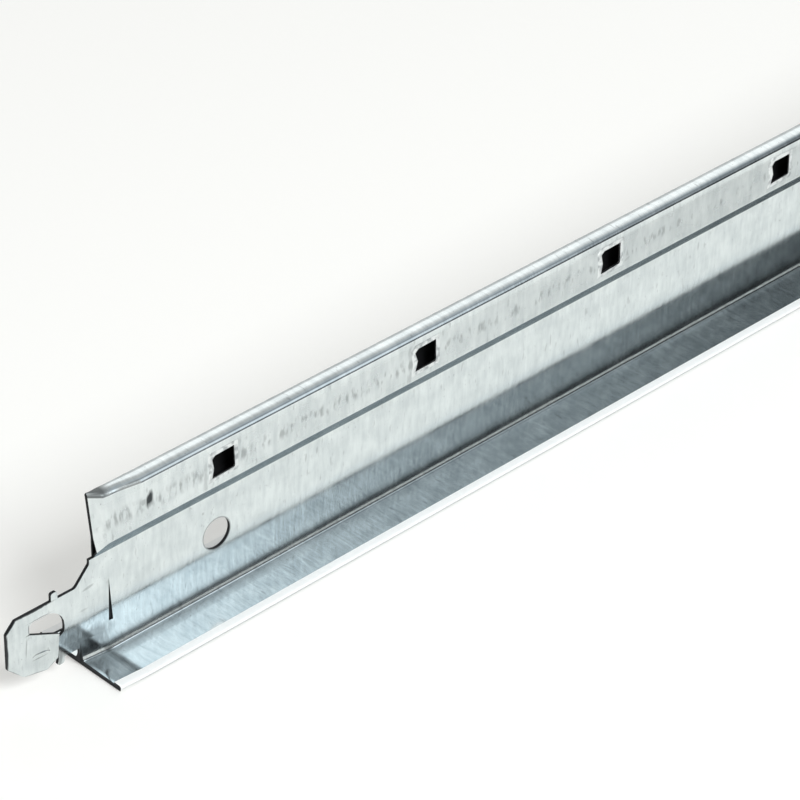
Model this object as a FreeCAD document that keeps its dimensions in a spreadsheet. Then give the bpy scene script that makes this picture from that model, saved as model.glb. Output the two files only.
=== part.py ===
import FreeCAD, Part
import math
import os
import Sketcher

# Exposed ceiling grid cross tee, 24 mm wide and 38 mm high, for a 600 mm module.
# X runs along the tee, Z is up, and the origin is under the middle of the flange.
# One end is drawn at -X, and a half turn about Z makes the other one.
# Near an end, lengths are measured from the end of the flange: inward, towards mid length,
# or outward, along the clip that reaches through the main runner.

SIZES = [
    ("module_length", 600.0, "between the centres of the two main runners"),
    ("runner_setback", 5.0, "centre of a main runner to the end of the flange"),
    ("tee_height", 38.0, "underside of the flange to the crown of the bulb"),
    ("flange_width", 24.0, "across the painted cap"),
    ("body_gauge", 0.35, "galvanised sheet, which lies double in the web"),
    ("cap_gauge", 0.3, "painted sheet of the cap"),
    ("cap_return", 2.0, "width of the hem that the cap folds over the flange"),
    ("hem_radius", 0.25, "rounding of the hem's outer edges"),
    ("root_radius", 0.5, "bend between web and flange"),
    ("bulb_width", 4.6, "across the box bulb"),
    ("bulb_side", 10.4, "straight side of the bulb"),
    ("bulb_corner", 1.3, "bend at the top corners of the bulb"),
    ("crown_rise", 0.6, "top corners of the bulb up to its crown"),
    ("crown_radius", 2.0, "rounding along the crown"),
    ("shoulder_rise", 3.3, "height of the sloped shoulders under the bulb"),
    ("square_length", 5.4, "square hole in the bulb, along the tee"),
    ("square_rise", 4.9, "square hole in the bulb, up its side"),
    ("square_drop", 5.8, "crown to the middle of a square hole"),
    ("square_setback", 35.5, "end of the flange to the first square hole"),
    ("square_pitch", 55.5, "from one square hole to the next"),
    ("square_count", 10, "square holes along the tee"),
    ("wire_hole", 7.0, "diameter of the round holes in the web"),
    ("wire_setback", 35.4, "end of the flange to a round hole"),
    ("wire_rise", 13.9, "underside of the flange to a round hole"),
    ("bulb_setback", 4.0, "end of the flange to the cut end of the bulb"),
    ("pinch_reach", 2.2, "stretch over which the end of the bulb is squeezed shut"),
    ("dent_reach", 5.5, "cut end of the bulb to the middle of its dented stretch"),
    ("taper_reach", 11.0, "cut end of the bulb to its full width"),
    ("pinch_dent", 1.3, "top corner pressed in where the squeezed stretch starts"),
    ("taper_dent", 1.0, "top corner pressed in at the middle of the dented stretch"),
    ("pinch_lean", 0.75, "top of the squeezed end leans to the far side"),
    ("pinch_gape", 1.0, "near wall stands open at the foot of the squeezed end"),
    ("pinch_slit", 0.1, "gap left between the squeezed walls"),
    ("pinch_foot", 4.5, "height of the stretch that stays open"),
    ("pinch_corner", 0.15, "bends at the top of the squeezed end"),
    ("lift_length", 6.2, "end of the flange that is lifted over the main runner"),
    ("lift_ramp", 1.2, "length of the step in the flange"),
    ("lift_radius", 0.8, "bends of the step in the flange"),
    ("plate_lap", 12.0, "end of the flange to the inner end of the end plate"),
    ("neck_setback", 2.8, "end of the flange to the top of the sloped neck"),
    ("neck_edge", 1.0, "straight edge above the sloped neck"),
    ("neck_foot", 0.8, "outward to the foot of the sloped neck"),
    ("neck_radius", 1.2, "rounding at the foot of the sloped neck, half of it at the top"),
    ("web_cut", 0.3, "outward to the cut end of the web above the flange"),
    ("clip_reach", 17.9, "outward to the tip of the clip"),
    ("clip_top", 18.8, "upper edge of the clip"),
    ("clip_corner", 0.5, "rounding of the clip's corners"),
    ("nose_chamfer", 2.3, "cut corner above the tip of the clip"),
    ("nose_foot", 8.2, "height of the corner under the tip"),
    ("toe_run", 1.0, "outward from the bend of the spring flap to the sloped toe"),
    ("toe_rise", 4.9, "height of the corner behind the sloped toe"),
    ("tooth_reach", 5.2, "outward to the inner flank of the stop tooth"),
    ("tooth_width", 1.6, "width of the stop tooth"),
    ("tooth_rise", 1.75, "height of the stop tooth"),
    ("hook_nose", 0.4, "outward from the flap's slot to the outer flank of the lower hook"),
    ("hook_width", 1.8, "width of the lower hook"),
    ("hook_foot", 2.9, "height of the underside of the lower hook"),
    ("notch_rise", 4.3, "height of the edge above the open notch at the flange"),
    ("window_top", 16.4, "height of the window's upper edge"),
    ("window_lean", 1.75, "inward from the flap's slot to the curved end of the window"),
    ("window_radius", 4.7, "curved end of the window"),
    ("window_corner", 1.2, "rounding at the short end of the window"),
    ("window_foot", 9.6, "height of the lower corner of the window"),
    ("window_tail", 1.7, "lower corner of the window down to the flap's slot"),
    ("flap_reach", 13.4, "outward to the bend of the spring flap"),
    ("flap_shelf", 1.05, "bend of the spring flap to the window's short end"),
    ("flap_length", 7.2, "bend of the spring flap to its free end"),
    ("flap_high", 13.8, "height of the flap's top at its bend"),
    ("flap_low", 11.3, "height of the flap's top at its free end"),
    ("flap_heel", 4.5, "height of the flap's underside at its bend"),
    ("flap_dip", 4.7, "bend of the spring flap to its lowest corner"),
    ("flap_foot", 3.9, "height of the flap's lowest corner"),
    ("flap_cut", 1.7, "lowest corner up to the corner of the free end"),
    ("flap_corner", 0.3, "rounding of the flap's free corners"),
    ("flap_angle", 6.0, "degrees that the flap is bent out"),
    ("flap_slot", 0.7, "gap between the flap's free end and the neck"),
    ("crease_setback", 8.0, "end of the flange to the crease across the web"),
    ("crease_foot", 7.0, "height of the lower end of the crease"),
    ("crease_rise", 10.0, "length of the crease"),
    ("crease_width", 0.7, "width of the crease at its foot"),
    ("crease_depth", 0.25, "depth of the crease"),
]

# Places worked out from the sheet, as expressions
FLANGE_HALF = "(dims.module_length / 2 - dims.runner_setback)"
FLANGE_TOP = "(dims.cap_gauge + dims.body_gauge)"
SHEET_MIDDLE = "(dims.cap_gauge + dims.body_gauge / 2)"
FLANGE_LIFT = "(dims.cap_gauge + dims.body_gauge)"
LIFT_END = "(dims.lift_length + dims.lift_ramp)"
BODY_HALF = "(dims.flange_width / 2 - dims.cap_gauge)"
ROOT_HALF = "(dims.body_gauge + 2 * dims.root_radius)"
WEB = "dims.body_gauge"
BULB_HALF = "(dims.bulb_width / 2)"
CORNER_Z = "(dims.tee_height - dims.crown_rise)"
SHOULDER_Z = "(dims.tee_height - dims.crown_rise - dims.bulb_side)"
WEB_TOP = "(dims.tee_height - dims.crown_rise - dims.bulb_side - dims.shoulder_rise)"
PINCH_FOOT_Z = f"({WEB_TOP} + dims.pinch_foot)"
HALF_SHOULDER_Z = f"({WEB_TOP} + dims.shoulder_rise / 2)"

# The hollow keeps one gauge of sheet all round, so its corners move in along the slopes
HOLLOW_HALF = "(dims.bulb_width / 2 - dims.body_gauge)"
SHOULDER_SLOPE = f"(dims.shoulder_rise / {HOLLOW_HALF})"
APEX_RISE = f"(dims.body_gauge * (sqrt(1 + {SHOULDER_SLOPE} ^ 2) - {SHOULDER_SLOPE}))"
HOLLOW_APEX = f"({WEB_TOP} + {APEX_RISE})"
HOLLOW_SHOULDER = f"({HOLLOW_APEX} + dims.shoulder_rise)"
HOLLOW_CORNER_Z = f"({CORNER_Z} - dims.body_gauge * (1 - dims.crown_rise / {BULB_HALF}))"
HOLLOW_CROWN = "(dims.tee_height - dims.body_gauge)"


def inward(distance):
    return f"(-{FLANGE_HALF} + {distance})"


def outward(distance):
    return f"(-{FLANGE_HALF} - ({distance}))"


def number(owner, expression):
    value = owner.evalExpression(expression)
    return float(getattr(value, "Value", value))


def origin_feature(body, role):
    return [feature for feature in body.Origin.OriginFeatures if feature.Role == role][0]


def new_sketch(body, name, role, offset=None):
    """A sketch on an origin plane, moved along the plane's normal by the offset expression."""
    sketch = body.newObject("Sketcher::SketchObject", name)
    sketch.AttachmentSupport = [(origin_feature(body, role), "")]
    sketch.MapMode = "FlatFace"
    if offset:
        sketch.setExpression(".AttachmentOffset.Base.z", offset)
    doc.recompute()
    return sketch


def pin_point(sketch, geometry, point, across, up):
    """Holds a point at a place given by two expressions."""
    for kind, axis, place in (("DistanceX", -2, across), ("DistanceY", -1, up)):
        if place == "0":
            sketch.addConstraint(Sketcher.Constraint("PointOnObject", geometry, point, axis))
            continue
        distance = Sketcher.Constraint(kind, -1, 1, geometry, point, number(sketch, place))
        index = sketch.addConstraint(distance)
        sketch.setExpression(f"Constraints[{index}]", place)


def corner_arc(place, start, end, radius):
    """The arc from start to end that rounds the corner at the place."""
    half_angle = (start - place).getAngle(end - place) / 2
    to_middle = ((start + end) * 0.5 - place).normalize()
    return Part.Arc(start, place + to_middle * (radius / math.sin(half_angle) - radius), end)


def hold_corner(sketch, line_in, arc, line_out, corner):
    """Keeps the arc tangent to both lines, which point at the corner's place."""
    place = FreeCAD.Vector(number(sketch, corner[0]), number(sketch, corner[1]), 0)
    sharp = sketch.addGeometry(Part.Point(place), True)
    pin_point(sketch, sharp, 1, corner[0], corner[1])
    sketch.addConstraint(Sketcher.Constraint("PointOnObject", sharp, 1, line_in))
    sketch.addConstraint(Sketcher.Constraint("PointOnObject", sharp, 1, line_out))
    line_end = sketch.getPoint(line_in, 2)
    to_first = (sketch.getPoint(arc, 1) - line_end).Length
    to_second = (sketch.getPoint(arc, 2) - line_end).Length
    arc_start, arc_end = (1, 2) if to_first < to_second else (2, 1)
    sketch.addConstraint(Sketcher.Constraint("Tangent", line_in, 2, arc, arc_start))
    sketch.addConstraint(Sketcher.Constraint("Tangent", arc, arc_end, line_out, 1))
    index = sketch.addConstraint(Sketcher.Constraint("Radius", arc, number(sketch, corner[2])))
    sketch.setExpression(f"Constraints[{index}]", corner[2])


def draw_outline(sketch, corners):
    """A closed outline through (across, up) and (across, up, radius) corners, all expressions."""
    places = [FreeCAD.Vector(number(sketch, c[0]), number(sketch, c[1]), 0) for c in corners]
    radii = [number(sketch, c[2]) if len(c) == 3 else 0 for c in corners]
    count = len(corners)
    arrivals, departures = [], []
    for i in range(count):
        back = (places[i - 1] - places[i]).normalize()
        ahead = (places[(i + 1) % count] - places[i]).normalize()
        trim = radii[i] / math.tan(back.getAngle(ahead) / 2)
        arrivals.append(places[i] + back * trim)
        departures.append(places[i] + ahead * trim)
    lines, arcs = [], []
    for i in range(count):
        edge = Part.LineSegment(departures[i], arrivals[(i + 1) % count])
        lines.append(sketch.addGeometry(edge, False))
    for i in range(count):
        arc = corner_arc(places[i], arrivals[i], departures[i], radii[i]) if radii[i] else None
        arcs.append(sketch.addGeometry(arc, False) if arc else None)
    for i in range(count):
        if radii[i]:
            hold_corner(sketch, lines[i - 1], arcs[i], lines[i], corners[i])
        else:
            sketch.addConstraint(Sketcher.Constraint("Coincident", lines[i - 1], 2, lines[i], 1))
            pin_point(sketch, lines[i], 1, corners[i][0], corners[i][1])


def pad(body, name, sketch, length):
    """Pads the sketch to both sides of its plane."""
    feature = body.newObject("PartDesign::Pad", name)
    feature.Profile = sketch
    feature.SideType = "Symmetric"
    feature.setExpression("Length", length)
    doc.recompute()
    return feature


def pocket(body, name, sketch, length, side):
    """Cuts the sketch to both sides, ahead of its plane (along the normal) or behind it."""
    before = body.Shape.Volume
    feature = body.newObject("PartDesign::Pocket", name)
    feature.Profile = sketch
    feature.SideType = "Symmetric" if side == "both" else "One side"
    feature.Reversed = side == "ahead"
    feature.setExpression("Length", length)
    doc.recompute()
    if feature.Shape.Volume >= before:
        raise RuntimeError(name + " cuts nothing")
    return feature


def half_turn(body, name, features):
    """Repeats the features at the other end of the tee."""
    pattern = body.newObject("PartDesign::PolarPattern", name)
    pattern.Originals = features
    pattern.Axis = (origin_feature(body, "Z_Axis"), [""])
    pattern.Angle = 360
    pattern.Occurrences = 2
    body.Tip = pattern
    doc.recompute()
    return pattern


def mirrored(corners):
    return [("-" + corner[0],) + corner[1:] for corner in corners]


def lifted_strip(low, high):
    """Side view of a strip as long as the flange, stepped up at both ends."""
    bend = "dims.lift_radius"
    lower = [
        (inward("0"), f"{low} + {FLANGE_LIFT}"),
        (inward("dims.lift_length"), f"{low} + {FLANGE_LIFT}", bend),
        (inward(LIFT_END), low, bend),
    ]
    upper = [
        (inward("0"), f"{high} + {FLANGE_LIFT}"),
        (inward("dims.lift_length"), f"{high} + {FLANGE_LIFT}", bend),
        (inward(LIFT_END), high, bend),
    ]
    return lower + mirrored(lower[::-1]) + mirrored(upper) + upper[::-1]


def bulb_outline(dent):
    """Outside of the bulb, with its near top corner pressed in by the dent."""
    return [
        (f"-{WEB}", WEB_TOP),
        (f"-{BULB_HALF}", SHOULDER_Z),
        (f"-{BULB_HALF}", PINCH_FOOT_Z),
        (f"-{BULB_HALF} + {dent}", CORNER_Z, "dims.bulb_corner"),
        (f"{dent} / 2", "dims.tee_height", "dims.crown_radius"),
        (BULB_HALF, CORNER_Z, "dims.bulb_corner"),
        (BULB_HALF, PINCH_FOOT_Z),
        (BULB_HALF, SHOULDER_Z),
        (WEB, WEB_TOP),
    ]


def bulb_hollow(dent):
    """Inside of the bulb, one gauge of sheet within its outside."""
    corner = "dims.bulb_corner - dims.body_gauge"
    return [
        ("0", HOLLOW_APEX),
        (f"-{HOLLOW_HALF}", HOLLOW_SHOULDER),
        (f"-{HOLLOW_HALF}", PINCH_FOOT_Z),
        (f"-{HOLLOW_HALF} + {dent}", HOLLOW_CORNER_Z, corner),
        (f"{dent} / 2", HOLLOW_CROWN, "dims.crown_radius - dims.body_gauge"),
        (HOLLOW_HALF, HOLLOW_CORNER_Z, corner),
        (HOLLOW_HALF, PINCH_FOOT_Z),
        (HOLLOW_HALF, HOLLOW_SHOULDER),
    ]


def squeezed_outline():
    """Outside of the bulb at its cut end, shut above and open at the near foot."""
    wall = "(dims.pinch_slit / 2 + dims.body_gauge)"
    corner = "dims.pinch_corner"
    return [
        (f"-{WEB}", WEB_TOP),
        ("-dims.pinch_gape - dims.body_gauge", HALF_SHOULDER_Z),
        (f"-{wall}", PINCH_FOOT_Z),
        (f"dims.pinch_lean - {wall}", CORNER_Z, corner),
        ("dims.pinch_lean", "dims.tee_height", corner),
        (f"dims.pinch_lean + {wall}", CORNER_Z, corner),
        (wall, PINCH_FOOT_Z),
        (wall, HALF_SHOULDER_Z),
        (WEB, WEB_TOP),
    ]


def squeezed_hollow():
    """Slit between the walls at the cut end, wider at the near foot."""
    slit = "dims.pinch_slit / 2"
    tip = "dims.pinch_slit / 10"
    return [
        ("0", HOLLOW_APEX),
        ("-dims.pinch_gape", f"{HALF_SHOULDER_Z} + {APEX_RISE}"),
        (f"-{slit}", PINCH_FOOT_Z),
        (f"dims.pinch_lean - {slit}", f"{CORNER_Z} - dims.body_gauge", tip),
        ("dims.pinch_lean", f"{HOLLOW_CROWN} - dims.pinch_slit", tip),
        (f"dims.pinch_lean + {slit}", f"{CORNER_Z} - dims.body_gauge", tip),
        (slit, PINCH_FOOT_Z),
        (slit, f"{HALF_SHOULDER_Z} + {APEX_RISE}"),
    ]


def end_plate_outline():
    """Side view of the web's end with the clip, open where the spring flap is cut free."""
    corner = "dims.clip_corner"
    tooth_end = "(dims.tooth_reach + dims.tooth_width)"
    slot_edge = "(dims.flap_reach - dims.flap_length - dims.flap_slot)"
    hook_end = f"({slot_edge} + dims.hook_nose)"
    hook_start = f"({hook_end} - dims.hook_width)"
    window_start = f"({slot_edge} - dims.window_lean)"
    window_end = "(dims.flap_reach - dims.flap_shelf)"
    above_tooth = "dims.clip_top + dims.tooth_rise"
    return [
        (inward("dims.plate_lap"), WEB_TOP),
        (inward("dims.neck_setback"), WEB_TOP),
        (inward("dims.neck_setback"), f"{WEB_TOP} - dims.neck_edge", "dims.neck_radius / 2"),
        (outward("dims.neck_foot"), "dims.clip_top", "dims.neck_radius"),
        (outward("dims.tooth_reach"), "dims.clip_top"),
        (outward("dims.tooth_reach"), above_tooth, corner),
        (outward(tooth_end), above_tooth, corner),
        (outward(tooth_end), "dims.clip_top"),
        (outward("dims.clip_reach - dims.nose_chamfer"), "dims.clip_top", corner),
        (outward("dims.clip_reach"), "dims.clip_top - dims.nose_chamfer", corner),
        (outward("dims.clip_reach"), "dims.nose_foot", corner),
        (outward("dims.flap_reach + dims.toe_run"), "dims.toe_rise"),
        (outward("dims.flap_reach"), "dims.flap_heel"),
        (outward("dims.flap_reach"), "dims.flap_high"),
        (outward(window_end), "dims.flap_high"),
        (outward(window_end), "dims.window_top", "dims.window_corner"),
        (outward(window_start), "dims.window_top", "dims.window_radius"),
        (outward(window_start), "dims.window_foot", "dims.window_corner"),
        (outward(slot_edge), "dims.window_foot - dims.window_tail"),
        (outward(slot_edge), "dims.notch_rise"),
        (outward(hook_end), "dims.hook_foot", corner),
        (outward(hook_start), "dims.hook_foot", corner),
        (outward(hook_start), "dims.notch_rise"),
        (outward("dims.web_cut"), "dims.notch_rise"),
        (outward("dims.web_cut"), f"{SHEET_MIDDLE} + {FLANGE_LIFT}"),
        (inward("dims.lift_length"), f"{SHEET_MIDDLE} + {FLANGE_LIFT}"),
        (inward(LIFT_END), SHEET_MIDDLE),
        (inward("dims.plate_lap"), SHEET_MIDDLE),
    ]


def flap_outline():
    """The spring flap in its own plane, measured from its bend."""
    return [
        ("-dims.body_gauge", "dims.flap_heel"),
        ("dims.flap_dip", "dims.flap_foot", "dims.clip_corner"),
        ("dims.flap_length", "dims.flap_foot + dims.flap_cut", "dims.flap_corner"),
        ("dims.flap_length", "dims.flap_low", "dims.flap_corner"),
        ("dims.flap_shelf", "dims.flap_high"),
        ("-dims.body_gauge", "dims.flap_high"),
    ]


doc = FreeCAD.newDocument("ceiling_grid_tee")
sheet = doc.addObject("Spreadsheet::Sheet", "dims")
sheet.Label = "dims"
for row, (alias, value, meaning) in enumerate(SIZES, start=1):
    sheet.set(f"A{row}", meaning)
    sheet.set(f"B{row}", str(value))
    sheet.setAlias(f"B{row}", alias)
doc.recompute()

# The body is one strip, rolled into flange, double web and box bulb, with a clip stamped at each end
tee = doc.addObject("PartDesign::Body", "galvanised_tee")
tee.Label = "galvanised_tee"

flange_side = new_sketch(tee, "flange_side", "XZ_Plane")
draw_outline(flange_side, lifted_strip("dims.cap_gauge", FLANGE_TOP))
pad(tee, "flange", flange_side, f"2 * {BODY_HALF}")

web_section = new_sketch(tee, "web_section", "YZ_Plane")
draw_outline(web_section, [
    (f"-{ROOT_HALF}", SHEET_MIDDLE),
    (ROOT_HALF, SHEET_MIDDLE),
    (ROOT_HALF, FLANGE_TOP),
    (WEB, FLANGE_TOP, "dims.root_radius"),
    (WEB, WEB_TOP),
    (f"-{WEB}", WEB_TOP),
    (f"-{WEB}", FLANGE_TOP, "dims.root_radius"),
    (f"-{ROOT_HALF}", FLANGE_TOP),
])
pad(tee, "web", web_section, f"2 * ({FLANGE_HALF} - {LIFT_END})")

bulb_section = new_sketch(tee, "bulb_section", "YZ_Plane")
draw_outline(bulb_section, bulb_outline("0"))
draw_outline(bulb_section, bulb_hollow("0"))
pad(tee, "bulb", bulb_section, f"2 * ({FLANGE_HALF} - dims.bulb_setback - dims.taper_reach)")

plate_side = new_sketch(tee, "end_plate_side", "XZ_Plane")
draw_outline(plate_side, end_plate_outline())
end_plate = pad(tee, "end_plate", plate_side, f"2 * {WEB}")

# The flap's plane turns about its bend, so that the free end stands out to the near side
flap_side = new_sketch(tee, "spring_flap_side", "XZ_Plane")
flap_turn = FreeCAD.Rotation(FreeCAD.Vector(0, -1, 0), number(sheet, "flap_angle"))
flap_side.AttachmentOffset = FreeCAD.Placement(FreeCAD.Vector(), flap_turn)
flap_side.setExpression(".AttachmentOffset.Rotation.Angle", "dims.flap_angle")
flap_side.setExpression(".AttachmentOffset.Base.x", outward("dims.flap_reach"))
doc.recompute()
draw_outline(flap_side, flap_outline())
spring_flap = pad(tee, "spring_flap", flap_side, f"2 * {WEB}")

# Towards its cut end the bulb is dented from the near side, then squeezed shut
STATIONS = [
    ("cut", "dims.bulb_setback", None),
    ("squeezed", "(dims.bulb_setback + dims.pinch_reach)", "dims.pinch_dent"),
    ("dented", "(dims.bulb_setback + dims.dent_reach)", "dims.taper_dent"),
    ("full", "(dims.bulb_setback + dims.taper_reach)", "0"),
]


def loft(kind, name, squeezed, tapered):
    """Joins the sections at the stations, from the cut end of the bulb inward."""
    sections = []
    for station, place, dent in STATIONS:
        section = new_sketch(tee, f"{name}_{station}", "YZ_Plane", inward(place))
        draw_outline(section, tapered(dent) if dent else squeezed())
        sections.append(section)
    feature = tee.newObject(kind, name)
    feature.Profile = sections[0]
    feature.Sections = sections[1:]
    feature.Ruled = True
    doc.recompute()
    return feature


bulb_end = loft("PartDesign::AdditiveLoft", "bulb_end", squeezed_outline, bulb_outline)
solid_end = tee.Shape.Volume
bulb_mouth = loft("PartDesign::SubtractiveLoft", "bulb_mouth", squeezed_hollow, bulb_hollow)
if tee.Shape.Volume >= solid_end:
    raise RuntimeError("the end of the bulb is not hollow")

# The web steps back by a part of its thickness behind a short tapered crease
crease_side = new_sketch(tee, "crease_side", "XZ_Plane", WEB)
draw_outline(crease_side, [
    (inward("dims.crease_setback - dims.crease_width"), "dims.crease_foot"),
    (inward("dims.crease_setback"), "dims.crease_foot"),
    (inward("dims.crease_setback"), "dims.crease_foot + dims.crease_rise"),
])
crease = pocket(tee, "crease", crease_side, "dims.crease_depth", "behind")

wire_side = new_sketch(tee, "wire_hole_side", "XZ_Plane")
circle = wire_side.addGeometry(Part.Circle(FreeCAD.Vector(), FreeCAD.Vector(0, 0, 1), 1), False)
pin_point(wire_side, circle, 3, inward("dims.wire_setback"), "dims.wire_rise")
radius = wire_side.addConstraint(Sketcher.Constraint("Radius", circle, 1))
wire_side.setExpression(f"Constraints[{radius}]", "dims.wire_hole / 2")
wire_hole = pocket(tee, "wire_hole", wire_side, f"4 * {WEB}", "both")

half_turn(tee, "other_end", [end_plate, spring_flap, bulb_end, bulb_mouth, crease, wire_hole])

# The square holes go through the near wall of the bulb only
square_side = new_sketch(tee, "square_hole_side", "XZ_Plane")
SQUARE_X = inward("dims.square_setback")
SQUARE_Z = "(dims.tee_height - dims.square_drop)"
draw_outline(square_side, [
    (f"{SQUARE_X} - dims.square_length / 2", f"{SQUARE_Z} - dims.square_rise / 2"),
    (f"{SQUARE_X} + dims.square_length / 2", f"{SQUARE_Z} - dims.square_rise / 2"),
    (f"{SQUARE_X} + dims.square_length / 2", f"{SQUARE_Z} + dims.square_rise / 2"),
    (f"{SQUARE_X} - dims.square_length / 2", f"{SQUARE_Z} + dims.square_rise / 2"),
])
square_hole = pocket(tee, "square_hole", square_side, "dims.bulb_width", "ahead")
squares = tee.newObject("PartDesign::LinearPattern", "square_holes")
squares.Originals = [square_hole]
squares.Direction = (origin_feature(tee, "X_Axis"), [""])
squares.setExpression("Occurrences", "dims.square_count")
squares.setExpression("Length", "dims.square_pitch * (dims.square_count - 1)")
tee.Tip = squares
doc.recompute()

# The painted cap lies under the flange and is hemmed over both of its edges
cap = doc.addObject("PartDesign::Body", "painted_cap")
cap.Label = "painted_cap"

hem_side = new_sketch(cap, "hem_side", "XZ_Plane")
draw_outline(hem_side, lifted_strip("0", f"({FLANGE_TOP} + dims.cap_gauge)"))
hem = pad(cap, "hem", hem_side, "dims.flange_width")

side_edges = []
for index, edge in enumerate(hem.Shape.Edges, start=1):
    ends = [vertex.Point for vertex in edge.Vertexes]
    runs_along = abs(ends[0].x - ends[-1].x) > number(sheet, "cap_gauge")
    at_side = all(abs(abs(end.y) - number(sheet, "flange_width / 2")) < 0.001 for end in ends)
    if runs_along and at_side:
        side_edges.append(f"Edge{index}")
rounded = cap.newObject("PartDesign::Fillet", "rounded_edges")
rounded.Base = (hem, side_edges)
rounded.setExpression("Radius", "dims.hem_radius")
doc.recompute()

groove_side = new_sketch(cap, "groove_side", "XZ_Plane")
draw_outline(groove_side, lifted_strip("dims.cap_gauge", FLANGE_TOP))
pocket(cap, "groove", groove_side, f"2 * {BODY_HALF}", "both")

opening_side = new_sketch(cap, "opening_side", "XZ_Plane")
draw_outline(opening_side, lifted_strip(SHEET_MIDDLE, f"({FLANGE_TOP} + 2 * dims.cap_gauge)"))
pocket(cap, "opening", opening_side, "dims.flange_width - 2 * dims.cap_return", "both")

for feature in doc.Objects:
    if {"Invalid", "Error"} & set(feature.State):
        raise RuntimeError(f"{feature.Name} failed: {feature.State}")

os.makedirs("parts", exist_ok=True)
for body in (tee, cap):
    if body.Shape.isNull() or not body.Shape.isValid():
        raise RuntimeError(f"{body.Label} has no valid shape")
    if len(body.Shape.Solids) != 1:
        raise RuntimeError(f"{body.Label} is not one solid")
    body.Shape.exportStep(f"parts/{body.Label}.step")
    box = body.Shape.BoundBox
    print(body.Label, round(body.Shape.Volume, 1), [round(v, 2) for v in (
        box.XMin, box.YMin, box.ZMin, box.XMax, box.YMax, box.ZMax)])
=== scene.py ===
import math
import random

import bmesh
import bpy
from mathutils import Matrix, Vector, noise
from mathutils.geometry import tessellate_polygon


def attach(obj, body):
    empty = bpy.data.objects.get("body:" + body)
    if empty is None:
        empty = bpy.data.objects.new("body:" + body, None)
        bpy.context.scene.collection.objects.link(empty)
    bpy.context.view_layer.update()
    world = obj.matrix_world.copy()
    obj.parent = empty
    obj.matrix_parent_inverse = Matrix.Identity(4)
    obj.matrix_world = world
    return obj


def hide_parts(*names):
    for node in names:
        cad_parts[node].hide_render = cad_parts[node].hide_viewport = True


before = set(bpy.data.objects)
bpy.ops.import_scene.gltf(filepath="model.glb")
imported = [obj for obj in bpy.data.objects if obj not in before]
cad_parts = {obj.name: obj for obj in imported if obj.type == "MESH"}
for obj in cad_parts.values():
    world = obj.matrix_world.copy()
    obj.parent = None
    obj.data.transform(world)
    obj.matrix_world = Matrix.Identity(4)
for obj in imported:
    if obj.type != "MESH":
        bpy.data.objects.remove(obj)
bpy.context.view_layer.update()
BODY = "root"

# The tee runs along X, and its near side, with the square holes, faces -Y.
# Sizes are in millimetres. Lengths near an end run from the end of the flange,
# inward to mid length or outward along the clip. A half turn about Z makes the far end.
MM = 0.001

# The flange and the cap folded round it
FLANGE_HALF = 295.0
FLANGE_WIDTH = 24.0
TEE_HEIGHT = 38.0
GAUGE = 0.35
CAP_GAUGE = 0.3
CAP_RETURN = 2.0
HEM_RADIUS = 0.45
FLANGE_TOP = CAP_GAUGE + GAUGE
HEM_TOP = FLANGE_TOP + CAP_GAUGE
BODY_HALF = FLANGE_WIDTH / 2 - CAP_GAUGE

# The flange's stepped-up ends: heights at places inward, and how far the long edges droop
LIFT_LENGTH = 6.2
LIFT_RAMP = 1.2
LIFT_PROFILE = [(-1.0, 0.62), (0.25, 0.68), (5.6, 0.23), (7.1, 0.0), (9.0, 0.0)]
LIFT_SOFTENING = 0.4
LIFT_DROOP = 0.4
LIFT_SPAN = 8.0
SEAT_Z = FLANGE_TOP + 0.45 - GAUGE / 2
# How far the cap's dark end faces reach below its lifted end: painted shade of the gap under it
END_SHADE_DROP = 0.3

# The hollow bulb: a box with a slightly round crown, over a sloping shoulder
BULB_HALF = 2.3
BULB_SIDE = 10.4
BULB_CORNER = 1.3
CROWN_RISE = 0.6
CROWN_RADIUS = 2.0
CROWN_SPREAD = 2.4
CROWN_CUT = 0.035
SHOULDER_RISE = 3.3
SHOULDER_BEND = 0.35
WEB_BEND = 0.05
APEX_HALF = 0.01
APEX_RISE = 0.2
CORNER_Z = TEE_HEIGHT - CROWN_RISE
SHOULDER_Z = CORNER_Z - BULB_SIDE
WEB_TOP = SHOULDER_Z - SHOULDER_RISE

# The square holes in the bulb's near wall, and the wire holes in the web
SQUARE_LENGTH = 5.8
SQUARE_RISE = 5.2
SQUARE_Z = TEE_HEIGHT - 5.95
SQUARE_SETBACK = 35.6
SQUARE_PITCH = 55.5
SQUARE_COUNT = 10
WIRE_HOLE = 7.0
WIRE_SETBACK = 35.4
WIRE_RISE = 13.9

# The bulb is squeezed shut at its ends and tapers out from there
BULB_SETBACK = 4.0
PINCH_REACH = 2.2
DENT_REACH = 5.5
TAPER_REACH = 11.0
PINCH_DENT = 1.3
TAPER_DENT = 1.0
PINCH_LEAN = 1.4
PINCH_GAPE = 1.0
PINCH_SLIT = 0.1
PINCH_BEND = 0.15
SLIT_BEND = 0.01
PINCH_FOOT_Z = WEB_TOP + 4.5
HALF_SHOULDER_Z = WEB_TOP + SHOULDER_RISE / 2

# Fineness of arcs and lofts, and small allowances
ARC_STEPS = 6
BULB_ARC_STEPS = 10
CAP_ARC_STEPS = 4
TEAR_ARC_STEPS = 3
TAPER_STEPS = 8
LIFT_STEPS = 40
MIDDLE_STEPS = 60
HOLE_STEPS = 64
BEAD_STEPS = 24
OVERLAP = 0.02
CUT_CLEARANCE = 1.0
SAME_PLACE = 0.001
SHARP_ANGLE = math.radians(28)
SEED = 24038

# Material slots of a piece: its faces, its cut edges and the inside of the bulb, which carries painted shade
FACE_SLOT, EDGE_SLOT, INSIDE_SLOT = 0, 1, 2


def linear(hex_colour):
    """An sRGB hex colour as the linear colour that a shader takes."""
    channels = [int(hex_colour[i:i + 2], 16) / 255 for i in (1, 3, 5)]
    return tuple(c / 12.92 if c <= 0.04045 else ((c + 0.055) / 1.055) ** 2.4 for c in channels) + (1.0,)


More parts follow.
